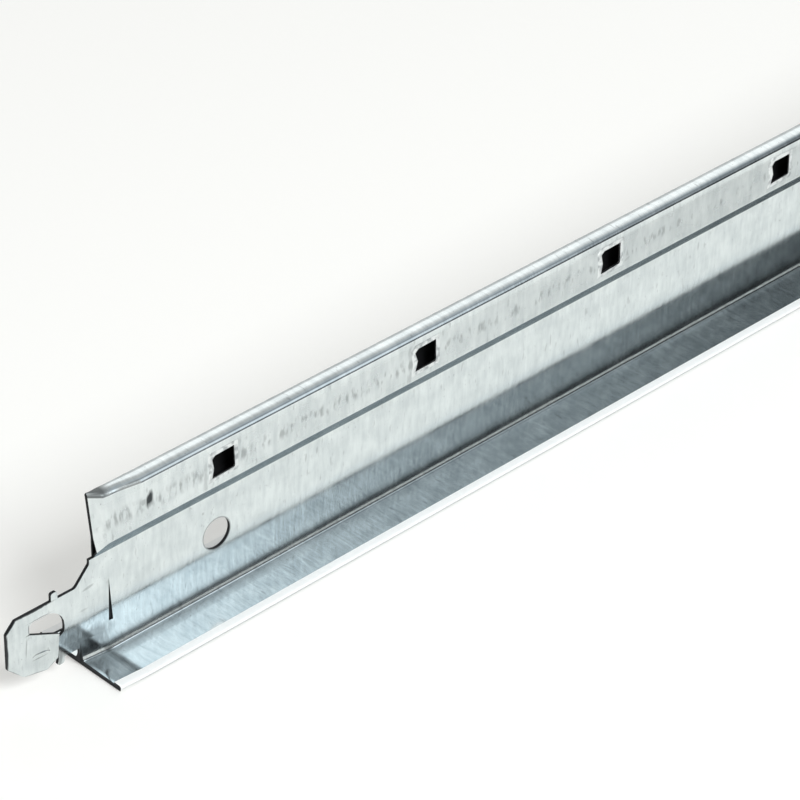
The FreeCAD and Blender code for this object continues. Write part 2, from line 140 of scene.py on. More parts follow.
# Outlines and meshes

def rounded(corners, steps=ARC_STEPS):
    """A closed outline through (across, up, radius) corners, with an arc where there is a radius."""
    points = []
    for i, corner in enumerate(corners):
        place = Vector(corner[:2])
        if len(corner) < 3:
            points.append(place)
            continue
        back = (Vector(corners[i - 1][:2]) - place).normalized()
        ahead = (Vector(corners[(i + 1) % len(corners)][:2]) - place).normalized()
        half_angle = back.angle(ahead) / 2
        trim = corner[2] / math.tan(half_angle)
        centre = place + (back + ahead).normalized() * (corner[2] / math.sin(half_angle))
        start = place + back * trim - centre
        turn = (place + ahead * trim - centre).angle_signed(start)
        for step in range(steps + 1):
            spoke = start.copy()
            spoke.rotate(Matrix.Rotation(turn * step / steps, 2))
            points.append(centre + spoke)
    return points


def new_piece(name, mesh_maker, materials):
    """An object in metres whose mesh is filled by mesh_maker, which works in millimetres."""
    work = bmesh.new()
    mesh_maker(work)
    bmesh.ops.recalc_face_normals(work, faces=work.faces)
    bmesh.ops.scale(work, vec=(MM, MM, MM), verts=work.verts)
    mesh = bpy.data.meshes.new(name)
    work.to_mesh(mesh)
    work.free()
    for material in materials:
        mesh.materials.append(material)
    piece = bpy.data.objects.new(name, mesh)
    bpy.context.scene.collection.objects.link(piece)
    return piece


def add_plate(work, outline, holes, low, high, place):
    """A flat plate between two depths, placed by place(across, up, depth). Returns its rims' faces."""
    loops = [outline] + holes
    flat = [Vector((p[0], p[1], 0)) for loop in loops for p in loop]
    triangles = tessellate_polygon([[Vector((p[0], p[1], 0)) for p in loop] for loop in loops])
    sides = [[work.verts.new(place(p[0], p[1], depth)) for p in flat] for depth in (low, high)]
    for side in sides:
        for triangle in triangles:
            work.faces.new([side[i] for i in triangle])
    rims = []
    first = 0
    for loop in loops:
        for i in range(len(loop)):
            a, b = first + i, first + (i + 1) % len(loop)
            rims.append(work.faces.new([sides[0][a], sides[0][b], sides[1][b], sides[1][a]]))
        first += len(loop)
    return rims


def add_loft(work, sections, back_to_first=False):
    """Faces between closed sections of as many points each. Returns the sections' vertices."""
    rings = [[work.verts.new(p) for p in section] for section in sections]
    for ring, following in zip(rings, rings[1:] + (rings[:1] if back_to_first else [])):
        for i in range(len(ring)):
            j = (i + 1) % len(ring)
            work.faces.new([ring[i], ring[j], following[j], following[i]])
    return rings


def boolean(piece, tool, operation):
    """Cuts or joins the tool with the piece, and removes the tool."""
    change = piece.modifiers.new(operation, "BOOLEAN")
    change.operation = operation
    change.object = tool
    change.solver = "MANIFOLD"
    with bpy.context.temp_override(object=piece, active_object=piece, selected_objects=[piece]):
        bpy.ops.object.modifier_apply(modifier=change.name)
    bpy.data.objects.remove(tool)


def half_turned(points):
    """The same points at the far end of the tee."""
    return [(-x, -y, z) for x, y, z in points]


def side_place(across, up, depth):
    """Stands a flat outline upright along the tee."""
    return (across, depth, up)


# The strip's own shape

def lift(x, y=0.0):
    """How far the flange and the cap are stepped up, a little less at their long edges."""
    inward = FLANGE_HALF - abs(x)
    droop = 1 - LIFT_DROOP * (2 * y / FLANGE_WIDTH) ** 2
    heights = []
    for place in (inward - LIFT_SOFTENING, inward, inward + LIFT_SOFTENING):
        height = 0
        for (start, high), (stop, low) in zip(LIFT_PROFILE, LIFT_PROFILE[1:]):
            if start <= place < stop:
                height = high + (low - high) * (place - start) / (stop - start)
        heights.append(height)
    return droop * sum(heights) / len(heights)


def lift_stations():
    """Places along the flange, close together over the steps at both ends."""
    near = [-FLANGE_HALF + LIFT_SPAN * i / LIFT_STEPS for i in range(LIFT_STEPS + 1)]
    middle = [near[-1] + 2 * abs(near[-1]) * i / MIDDLE_STEPS for i in range(1, MIDDLE_STEPS)]
    return near + middle + [-x for x in reversed(near)]


def bulb_outside(dent):
    """The bulb's section, with its near side leaning in by the dent and its crown flatter without one."""
    crown = CROWN_RADIUS + CROWN_SPREAD * (1 - dent / PINCH_DENT)
    return rounded([
        (-GAUGE, WEB_TOP, WEB_BEND),
        (-BULB_HALF, SHOULDER_Z, SHOULDER_BEND),
        (-BULB_HALF, PINCH_FOOT_Z),
        (-BULB_HALF + dent, CORNER_Z, BULB_CORNER),
        (dent / 2, TEE_HEIGHT + (crown - CROWN_RADIUS) * CROWN_CUT, crown),
        (BULB_HALF, CORNER_Z, BULB_CORNER),
        (BULB_HALF, PINCH_FOOT_Z),
        (BULB_HALF, SHOULDER_Z, SHOULDER_BEND),
        (GAUGE, WEB_TOP, WEB_BEND),
    ], BULB_ARC_STEPS)


def bulb_inside(dent):
    """The hollow's section, a gauge inside the other one."""
    half = BULB_HALF - GAUGE
    apex = WEB_TOP + APEX_RISE
    return rounded([
        (-APEX_HALF, apex),
        (-half, apex + SHOULDER_RISE, SHOULDER_BEND),
        (-half, PINCH_FOOT_Z),
        (-half + dent, CORNER_Z - GAUGE, BULB_CORNER - GAUGE),
        (dent / 2, TEE_HEIGHT - GAUGE, CROWN_RADIUS - GAUGE),
        (half, CORNER_Z - GAUGE, BULB_CORNER - GAUGE),
        (half, PINCH_FOOT_Z),
        (half, apex + SHOULDER_RISE, SHOULDER_BEND),
        (APEX_HALF, apex),
    ], BULB_ARC_STEPS)


def squeezed_outside():
    """The section of the bulb's end, pressed flat and leaning to the far side."""
    wall = PINCH_SLIT / 2 + GAUGE
    return rounded([
        (-GAUGE, WEB_TOP, 0.02),
        (-PINCH_GAPE - GAUGE, HALF_SHOULDER_Z, 0.1),
        (-wall, PINCH_FOOT_Z),
        (PINCH_LEAN - wall, CORNER_Z, PINCH_BEND),
        (PINCH_LEAN, TEE_HEIGHT, PINCH_BEND),
        (PINCH_LEAN + wall, CORNER_Z, PINCH_BEND),
        (wall, PINCH_FOOT_Z),
        (wall, HALF_SHOULDER_Z, 0.05),
        (GAUGE, WEB_TOP, 0.02),
    ], BULB_ARC_STEPS)


def squeezed_inside():
    """The slit that is left of the hollow at the bulb's end."""
    slit = PINCH_SLIT / 2
    return rounded([
        (-APEX_HALF, WEB_TOP + APEX_RISE),
        (-PINCH_GAPE, HALF_SHOULDER_Z + APEX_RISE, 0.05),
        (-slit, PINCH_FOOT_Z),
        (PINCH_LEAN - slit, CORNER_Z - GAUGE, SLIT_BEND),
        (PINCH_LEAN, TEE_HEIGHT - GAUGE, SLIT_BEND),
        (PINCH_LEAN + slit, CORNER_Z - GAUGE, SLIT_BEND),
        (slit, PINCH_FOOT_Z),
        (slit, HALF_SHOULDER_Z + APEX_RISE, 0.02),
        (APEX_HALF, WEB_TOP + APEX_RISE),
    ], BULB_ARC_STEPS)


def bulb_sections(tapered, squeezed):
    """Sections of the bulb from its squeezed end at -X to the other one."""
    stations = [
        (BULB_SETBACK, squeezed()),
        (BULB_SETBACK + PINCH_REACH, tapered(PINCH_DENT)),
        (BULB_SETBACK + DENT_REACH, tapered(TAPER_DENT)),
        (BULB_SETBACK + TAPER_REACH, tapered(0)),
    ]
    near = []
    for (inward, section), (next_inward, next_section) in zip(stations, stations[1:]):
        for step in range(TAPER_STEPS):
            share = step / TAPER_STEPS
            x = -FLANGE_HALF + inward + (next_inward - inward) * share
            near.append([(x, *a.lerp(b, share)) for a, b in zip(section, next_section)])
    full_end = -FLANGE_HALF + BULB_SETBACK + TAPER_REACH
    near.append([(full_end, *p) for p in stations[-1][1]])
    far = [half_turned(section)[::-1] for section in reversed(near)]
    return near + far


def make_bulb(work):
    """The hollow bulb, closed at its ends by the rims of its walls."""
    outside = add_loft(work, bulb_sections(bulb_outside, squeezed_outside))
    outside_count = len(work.faces)
    inside = add_loft(work, bulb_sections(bulb_inside, squeezed_inside))
    work.faces.ensure_lookup_table()
    # The hollow's faces take the near-black inside material: painted shade
    for face in work.faces[outside_count:]:
        face.material_index = INSIDE_SLOT
    for end in (0, -1):
        outer, inner = outside[end], inside[end]
        loops = [[Vector((v.co.y, v.co.z, 0)) for v in ring] for ring in (outer, inner)]
        corners = outer + inner
        for triangle in tessellate_polygon(loops):
            work.faces.new([corners[i] for i in triangle]).material_index = EDGE_SLOT


# Clip, window and notch: one end of the web, from its upper edge to its foot, as (outward, up, radius)
END_OUTLINE = [
    (-2.8, WEB_TOP),
    (-2.8, WEB_TOP - 1.0, 0.6),
    (0.8, 18.8, 1.2),
    (5.2, 18.8),
    (5.2, 20.55, 0.5),
    (6.8, 20.55, 0.5),
    (6.8, 18.8),
    (15.6, 18.8, 0.5),
    (17.9, 16.5, 0.5),
    (17.9, 8.2, 0.5),
    (14.4, 4.9),
    (13.4, 4.5),
    (13.4, 13.8),
    (12.35, 13.8),
    (12.35, 16.4, 1.2),
    (3.75, 16.4, 4.7),
    (3.75, 10.2, 1.2),
    (5.95, 9.4),
    (5.6, 7.9),
    (5.5, 4.3),
    (5.9, 2.9, 0.5),
    (4.1, 2.9, 0.5),
    (4.1, 4.3),
    (0.3, 4.3),
    (0.3, SEAT_Z),
    (-LIFT_LENGTH + 1.0, SEAT_Z),
    (-LIFT_LENGTH - LIFT_RAMP, FLANGE_TOP - GAUGE / 2),
]


def make_web(work):
    """The web with both clips and its wire holes."""
    left = [(-FLANGE_HALF - c[0],) + c[1:] for c in END_OUTLINE]
    right = [(FLANGE_HALF + c[0],) + c[1:] for c in reversed(END_OUTLINE)]
    left[0] = (left[0][0], WEB_TOP + OVERLAP)
    right[-1] = (right[-1][0], WEB_TOP + OVERLAP)
    turns = [math.tau * i / HOLE_STEPS for i in range(HOLE_STEPS)]
    circle = [(WIRE_HOLE / 2 * math.cos(turn), WIRE_HOLE / 2 * math.sin(turn)) for turn in turns]
    holes = [
        [Vector((side * (FLANGE_HALF - WIRE_SETBACK) + x, WIRE_RISE + z)) for x, z in circle]
        for side in (-1, 1)
    ]
    rims = add_plate(work, rounded(left + right), holes, -GAUGE, GAUGE, side_place)
    for rim in rims:
        rim.material_index = EDGE_SLOT


# Half of the flange's root, from the flange's top to the web: a tight bend, then a slow flare
ROOT_FLARE = [
    (1.45, FLANGE_TOP), (1.27, 0.67), (1.16, 0.74), (1.08, 0.87), (1.025, 1.0), (0.975, 1.12), (0.93, 1.235),
    (0.88, 1.36), (0.83, 1.49), (0.785, 1.62), (0.745, 1.75), (0.7, 1.93), (0.655, 2.17), (0.6, 2.5),
    (0.54, 2.95), (0.48, 3.5), (0.42, 4.15), (0.365, 5.0),
]


def make_flange(work):
    """The flange under the web, flaring up into it."""
    half_section = [(BODY_HALF, CAP_GAUGE), (BODY_HALF, FLANGE_TOP)] + ROOT_FLARE
    section = half_section + [(-y, z) for y, z in reversed(half_section)]
    rings = add_loft(work, [[(x, y, z + lift(x, y)) for y, z in section] for x in lift_stations()])
    for ring in (rings[0], rings[-1]):
        work.faces.new(ring).material_index = EDGE_SLOT


RETURN_BEND = 0.08


def make_cap(work):
    """The white cap, folded over both edges of the flange, with its dark end faces drawn down under each
    lifted end as painted shade of the gap beneath.
    """
    half = FLANGE_WIDTH / 2
    outside = rounded([
        (-half, 0, HEM_RADIUS), (half, 0, HEM_RADIUS), (half, HEM_TOP, HEM_RADIUS),
        (half - CAP_RETURN, HEM_TOP, RETURN_BEND), (half - CAP_RETURN, FLANGE_TOP),
        (BODY_HALF, FLANGE_TOP), (BODY_HALF, CAP_GAUGE),
        (-BODY_HALF, CAP_GAUGE), (-BODY_HALF, FLANGE_TOP),
        (CAP_RETURN - half, FLANGE_TOP), (CAP_RETURN - half, HEM_TOP, RETURN_BEND),
        (-half, HEM_TOP, HEM_RADIUS),
    ], CAP_ARC_STEPS)
    rings = add_loft(work, [[(x, y, z + lift(x, y)) for y, z in outside] for x in lift_stations()])
    for face in work.faces:
        inner = [abs(abs(v.co.y) - (half - CAP_RETURN)) < SAME_PLACE for v in face.verts]
        face.material_index = EDGE_SLOT if all(inner) else FACE_SLOT
    # Each end's dark face is drawn down under the lifted end: painted shade of the gap beneath
    for ring in (rings[0], rings[-1]):
        for v in ring:
            if v.co.z < CAP_GAUGE / 2 + lift(v.co.x, v.co.y):
                v.co.z -= END_SHADE_DROP
        loop = [Vector((v.co.y, v.co.z, 0)) for v in ring]
        for triangle in tessellate_polygon([loop]):
            work.faces.new([ring[i] for i in triangle]).material_index = EDGE_SLOT


# The spring flap as (inward from its root, up, radius), and the bead lanced in it
FLAP_REACH = 13.4
BEAD_REACH = 10.0
BEAD_Z = 8.2
BEAD_LENGTH = 4.2
BEAD_WIDTH = 1.0
FLAP_ANGLE = math.radians(6)
FLAP_OUTLINE = [
    (-GAUGE, 4.5), (4.7, 3.9, 0.5), (7.2, 5.6, 0.3), (7.75, 11.1, 0.2), (1.05, 13.8), (-GAUGE, 13.8),
]


def make_flaps(work):
    """The spring flaps, bent out about an upright line by FLAP_ANGLE."""
    for side in (-1, 1):
        def place(across, up, depth):
            along = across * math.cos(FLAP_ANGLE) + depth * math.sin(FLAP_ANGLE)
            out = depth * math.cos(FLAP_ANGLE) - across * math.sin(FLAP_ANGLE)
            return (side * (FLANGE_HALF + FLAP_REACH - along), -side * out, up)
        rims = add_plate(work, rounded(FLAP_OUTLINE), [], -GAUGE, GAUGE, place)
        for rim in rims:
            rim.material_index = EDGE_SLOT


def square_places():
    """Where the middles of the square holes are along the tee."""
    return [-FLANGE_HALF + SQUARE_SETBACK + SQUARE_PITCH * i for i in range(SQUARE_COUNT)]


TEAR = 0.1


def square_outline(x, luck):
    """A punched hole with torn corners and a dent in its left side."""
    a, b = SQUARE_LENGTH / 2, SQUARE_RISE / 2

    def tear():
        return luck.uniform(-TEAR, TEAR)

    return rounded([
        (x - a - 0.05 + tear(), SQUARE_Z - b - 0.2 + tear(), 0.1),
        (x + a - 0.15, SQUARE_Z - b + tear(), 0.15),
        (x + a + 0.1, SQUARE_Z - b + 0.35, 0.2),
        (x + a - 0.1, SQUARE_Z + b, 0.15),
        (x - a + 0.7, SQUARE_Z + b - 0.1 + tear(), 0.2),
        (x - a - 0.15 + tear(), SQUARE_Z + b - 0.9 + tear(), 0.12),
        (x - a + 0.45 + tear(), SQUARE_Z - 0.5 + tear(), 0.3),
    ], TEAR_ARC_STEPS)


PUNCH_START = -BULB_HALF - CUT_CLEARANCE
PUNCH_STOP = -1.2


def make_square_cutters(work):
    """The punches that cut the near wall only."""
    luck = random.Random(SEED)
    for x in square_places():
        for face in add_plate(work, square_outline(x, luck), [], PUNCH_START, PUNCH_STOP, side_place):
            face.material_index = EDGE_SLOT


# The crease beside a clip as (inward, up)
CREASE_WEDGE = [(7.2, 7.1), (8.3, 7.0), (7.5, 17.4)]
CREASE_DEPTH = 0.25


def make_crease_cutters(work):
    """Tapered creases that step the web back beside each clip, lined with the near-black edge material as
    painted shade.
    """
    for side in (-1, 1):
        outline = [Vector((side * (FLANGE_HALF - inward), z)) for inward, z in CREASE_WEDGE]
        deep, clear = side * (GAUGE - CREASE_DEPTH), side * (GAUGE + CUT_CLEARANCE)
        add_plate(work, outline, [], deep, clear, side_place)
    # The crease's walls and floor take the near-black edge material: painted shade in the recess
    for face in work.faces:
        face.material_index = EDGE_SLOT


# The border round a square hole as (reach from the hole, height over the wall), and how rough it is
BURR_PROFILE = [
    (-0.02, -0.3), (0.02, 0.1), (0.2, 0.14), (0.6, 0.06), (1.1, 0.07), (1.35, 0.03), (1.5, -0.1),
]
BURR_LUMPS_PER_MM = 1.3
BURR_LAYERS_PER_MM = 2
BURR_ROUGH_REACH = 0.25
BURR_ROUGH_HEIGHT = 0.9


def make_burrs(work):
    """Rough raised borders round the square holes."""
    luck = random.Random(SEED)
    for x in square_places():
        rim = square_outline(x, luck)
        centre = Vector((x, SQUARE_Z))
        sections = []
        for reach, height in BURR_PROFILE:
            section = []
            for p in rim:
                out = (p - centre).normalized()
                rough = noise.noise(Vector((
                    p.x * BURR_LUMPS_PER_MM, p.y * BURR_LUMPS_PER_MM, reach * BURR_LAYERS_PER_MM)))
                spot = p + out * (reach * (1 + BURR_ROUGH_REACH * rough))
                section.append((spot.x, -BULB_HALF - height * (1 + BURR_ROUGH_HEIGHT * rough), spot.y))
            sections.append(section)
        add_loft(work, sections, back_to_first=True)


# The bead on a flap as (share of its size, height)
BEAD_PROFILE = [(1.0, -0.05), (0.9, 0.12), (0.6, 0.2), (0.2, 0.22)]


def make_flap_beads(work):
    """The long lanced bead on each spring flap."""
    for side in (-1, 1):
        sections = []
        for share, height in BEAD_PROFILE:
            section = []
            for i in range(BEAD_STEPS):
                turn = math.tau * i / BEAD_STEPS
                along = BEAD_REACH + BEAD_LENGTH / 2 * share * math.cos(turn)
                up = BEAD_Z + BEAD_WIDTH / 2 * share * math.sin(turn)
                out = GAUGE + height + (FLAP_REACH - along) * math.tan(FLAP_ANGLE)
                section.append((side * (FLANGE_HALF + along), side * out, up))
            sections.append(section)
        rings = add_loft(work, sections)
        work.faces.new(rings[-1])
        work.faces.new(rings[0])


# Materials

# Sockets of the Mix node, for colours and for plain numbers
COLOUR_A, COLOUR_B, COLOUR_OUT = 6, 7, 2
NUMBER_A, NUMBER_B = 2, 3

# Cells of each pattern per millimetre. A cut edge's own grain is too fine to show, so it is
# drawn 0.25 mm coarse.
TEARS_PER_MM = 0.7
EDGE_GRAINS_PER_MM = 4.0
PEEL_PER_MM = 0.9
SMUTS_PER_MM = 0.8


def add_node(tree, kind, inputs=None, **settings):
    """Adds a node, sets it up, and gives each named input a value or a link."""
    made = tree.nodes.new("ShaderNode" + kind)
    for name, value in settings.items():
        setattr(made, name, value)
    for name, value in (inputs or {}).items():
        socket = made.inputs[name]
        if isinstance(value, bpy.types.NodeSocket):
            tree.links.new(value, socket)
        else:
            socket.default_value = value
    return made


def new_material(name):
    material = bpy.data.materials.new(name)
    material.use_nodes = True
    material.node_tree.nodes.clear()
    return material, material.node_tree


# Dents and rubs, and painted shade along the clip's edges, on the near side: place inward from the left end
# of the flange, height, tilt, length, width and darkness
MARKS_AND_PAINTED_SHADE = [
    (2.3, 17.5, 0.15, 3.0, 0.7, 0.3),
    (1.1, 12.8, 0.0, 2.2, 0.5, 0.18),
    (16.6, 32.4, 1.45, 4.2, 1.8, 0.95),
    (14.9, 32.3, 0.0, 1.6, 1.4, 0.3),
    (59.5, 20.5, 1.5, 2.2, 0.5, 0.25),
    (62.6, 21.0, 1.5, 1.8, 0.6, 0.25),
    (28.6, 23.3, -0.8, 1.8, 0.3, 0.25),
    (31.9, 20.3, 0.0, 0.7, 0.7, 0.25),
    # Painted shade: a dark line along the spring flap's bend
    (-13.2, 11.4, 1.5, 5.0, 0.35, 0.35),
    # Painted shade: a dark patch on the crown of the squeezed end
    (5.4, 37.45, 0.1, 4.4, 0.75, 0.75),
    (104.0, 22.5, 1.4, 2.5, 0.5, 0.2),
    (131.0, 17.0, 1.6, 3.0, 0.5, 0.2),
    (152.0, 29.5, 0.3, 2.5, 0.9, 0.3),
    (178.0, 21.0, 1.5, 2.0, 0.6, 0.2),
    # Painted shade from here on: dark edges of the clip, window, bead and flap, a faint darkening of the
    # flap, and a painted reflection on the web's foot
    (-17.9, 12.2, math.pi / 2, 9.5, 0.75, 0.95),
    (-16.8, 17.7, math.pi / 4, 3.8, 0.8, 0.95),
    (-11.3, 18.8, 0.0, 9.5, 0.6, 0.9),
    (-9.4, 16.45, 0.0, 6.5, 0.35, 0.55),
    (-12.45, 15.0, math.pi / 2, 2.8, 0.35, 0.55),
    (-10.2, 7.6, 0.1, 3.8, 0.35, 0.55),
    (-9.6, 9.0, 0.0, 9.0, 9.0, 0.07),
    (-5.2, 5.2, math.pi / 2, 5.5, 1.6, 0.5),
    (2.2, 5.0, 0.1, 12.0, 6.4, 0.5),
    (-2.6, 6.8, 0.0, 6.0, 5.5, 0.4),
    (-16.2, 6.55, -math.pi / 4, 5.2, 0.4, 0.5),
    (-11.2, 4.2, -0.13, 5.5, 0.4, 0.5),
    (-7.4, 4.8, 0.6, 3.2, 0.4, 0.5),
]
MARK_CORE, MARK_RIM = 0.6, 1.1
NOISE_MEAN = 0.5


def zinc_grains(tree, millimetres):
    """Patterns of rolling streaks, rub marks and specks, as coarse as they need to show."""
    # Name, cells per millimetre along the tee, across it and up, and detail
    grains = {}
    for name, scale, detail in (
        ("streaks", (0.9, 0.20, 0.20), 6.0),
        ("dashes", (1.1, 0.28, 0.28), 2.0),
        ("cloud", (0.16, 0.22, 0.22), 4.0),
        ("specks", (2.2, 1.8, 1.8), 1.0),
        ("wander", (0.06, 0.06, 0.06), 1.0),
        ("ticks", (0.95, 0.3, 0.3), 3.0),
        ("patches", (0.7, 0.25, 0.25), 3.0),
        ("nicks", (0.5, 0.5, 0.5), 3.0),
    ):
        stretched = add_node(tree, "Mapping", {"Vector": millimetres, "Scale": scale}).outputs[0]
        grains[name] = add_node(tree, "TexNoise", {
            "Vector": stretched, "Scale": 1.0, "Detail": detail}).outputs[0]
    return grains


def zinc_shares(tree, axes, grains):
    """Where each pattern, stain, patch of painted shade and dull place of the zinc shows, and how strongly.
    """
    # Distances from the bulb's middle line, from the nearest square hole and from the wire hole
    middle = add_node(tree, "Math", {0: axes["Z"], 1: SQUARE_Z}, operation="SUBTRACT").outputs[0]
    wavy = add_node(tree, "Math", {0: middle, 1: grains["wander"]}, operation="ADD").outputs[0]
    from_line = add_node(tree, "Math", {0: wavy}, operation="ABSOLUTE").outputs[0]
    first_square = FLANGE_HALF - SQUARE_SETBACK + SQUARE_PITCH / 2
    shifted = add_node(tree, "Math", {0: axes["X"], 1: first_square}, operation="ADD").outputs[0]
    wrapped = add_node(tree, "Math", {0: shifted, 1: SQUARE_PITCH, 2: 0.0}, operation="WRAP").outputs[0]
    centred = add_node(tree, "Math", {0: wrapped, 1: SQUARE_PITCH / 2}, operation="SUBTRACT").outputs[0]
    from_square = add_node(tree, "Math", {0: centred}, operation="ABSOLUTE").outputs[0]
    from_middle = add_node(tree, "Math", {0: axes["X"]}, operation="ABSOLUTE").outputs[0]
    mirrored = add_node(tree, "CombineXYZ", {0: from_middle, 1: axes["Z"]}).outputs[0]
    from_hole = add_node(tree, "VectorMath", {
        0: mirrored, 1: (FLANGE_HALF - WIRE_SETBACK, WIRE_RISE, 0)}, operation="DISTANCE").outputs["Value"]
    both = add_node(tree, "Math", {0: grains["streaks"], 1: grains["cloud"]}, operation="ADD").outputs[0]

    # Name, what is read, the two places between which it changes, and its values there
    shares = {}
    for name, value, start, stop, first, last in (
        ("tone", both, 0.75, 1.25, 0.0, 1.0),
        ("gloss", grains["cloud"], 0.3, 0.7, 0.09, 0.15),
        ("scuffs", axes["Z"], 26.0, 28.0, 0.0, 0.17),
        ("near_face", axes["Y"], -0.34, -0.30, 1.0, 0.0),
        ("on_crown", axes["Z"], 36.2, 36.4, 0.0, 1.0),
        ("below_crown", axes["Z"], 35.4, 36.2, 1.0, 0.0),
        ("above_web", axes["Z"], SHOULDER_Z - 0.5, SHOULDER_Z + 0.5, 0.0, 1.0),
        ("dashes", grains["dashes"], 0.64, 0.74, 0.0, 0.22),
        ("specks", grains["specks"], 0.73, 0.78, 0.0, 0.3),
        ("stripe", from_line, 0.6, 2.2, 1.0, 0.0),
        ("ticks", grains["ticks"], 0.47, 0.64, 0.0, 0.42),
        ("past_square", from_square, 3.4, 4.0, 0.0, 1.0),
        ("near_square", from_square, 5.0, 5.6, 1.0, 0.0),
        ("patches", grains["patches"], 0.46, 0.64, 0.0, 0.24),
        ("wear", axes["X"], -270.0, -110.0, 0.0, 0.19),
        ("hole_ring", from_hole, WIRE_HOLE / 2 + 0.1, WIRE_HOLE / 2 + 0.35, 0.55, 0.0),
        ("far_edge", axes["Y"], 1.2, 1.8, 0.0, 1.0),
        ("nicks", grains["nicks"], 0.5, 0.62, 0.1, 0.6),
        ("crown_top", axes["Z"], 36.8, 37.0, 0.0, 1.0),
        # Painted shade: darkens the crown of the squeezed end, which faces away from the light
        ("painted_shade_tip", from_middle, FLANGE_HALF - 9.0, FLANGE_HALF - 6.8, 0.0, 0.75),
        # Painted shade: darkens the crown's rounded near corner
        ("painted_shade_bend_start", axes["Z"], 36.95, 37.15, 0.0, 0.35),
        ("bend_stop", axes["Z"], 37.5, 37.62, 1.0, 0.0),
        ("dull_tip", from_middle, FLANGE_HALF - 9.0, FLANGE_HALF - 6.8, 0.0, 0.4),
        ("near_bend", axes["Y"], -1.4, -1.1, 1.0, 0.0),
        # Painted shade: darkens the sloping shoulder under the bulb, away from the ends
        ("painted_shade_shoulder", axes["Z"], WEB_TOP, WEB_TOP + 0.4, 0.0, 0.25),
        ("shoulder_top", axes["Z"], SHOULDER_Z - 0.3, SHOULDER_Z, 1.0, 0.0),
        ("full_bulb", from_middle, FLANGE_HALF - 16.0, FLANGE_HALF - 13.0, 1.0, 0.0),
    ):
        shares[name] = add_node(tree, "MapRange", {
            "Value": value, "From Min": start, "From Max": stop, "To Min": first, "To Max": last,
        }).outputs[0]
    return shares


def marks_and_painted_shade_layers(tree, axes, grains, near_side):
    """A dark ellipse with a ragged rim for each mark or patch of painted shade, on the near side only."""
    flat = add_node(tree, "CombineXYZ", {0: axes["X"], 1: axes["Z"]}).outputs[0]
    ragging = add_node(tree, "Math", {0: grains["dashes"], 1: NOISE_MEAN}, operation="SUBTRACT").outputs[0]
    layers = []
    for from_end, height, tilt, length, width, darkness in MARKS_AND_PAINTED_SHADE:
        local = add_node(tree, "Mapping", {
            "Vector": flat, "Location": (from_end - FLANGE_HALF, height, 0), "Rotation": (0, 0, tilt),
            "Scale": (length / 2, width / 2, 1)}, vector_type="TEXTURE").outputs[0]
        away = add_node(tree, "VectorMath", {0: local}, operation="LENGTH").outputs["Value"]
        ragged = add_node(tree, "Math", {0: away, 1: ragging}, operation="ADD").outputs[0]
        spot = add_node(tree, "MapRange", {
            "Value": ragged, "From Min": MARK_CORE, "From Max": MARK_RIM,
            "To Min": darkness, "To Max": 0.0}).outputs[0]
        layers.append([spot, near_side])
    return layers


def darkest(tree, layers):
    """The darkest layer at each point, where a layer is the product of its factors."""
    dark = 0.0
    for factors in layers:
        layer = factors[0]
        for factor in factors[1:]:
            layer = add_node(tree, "Math", {0: layer, 1: factor}, operation="MULTIPLY").outputs[0]
        dark = add_node(tree, "Math", {0: dark, 1: layer}, operation="MAXIMUM").outputs[0]
    return dark


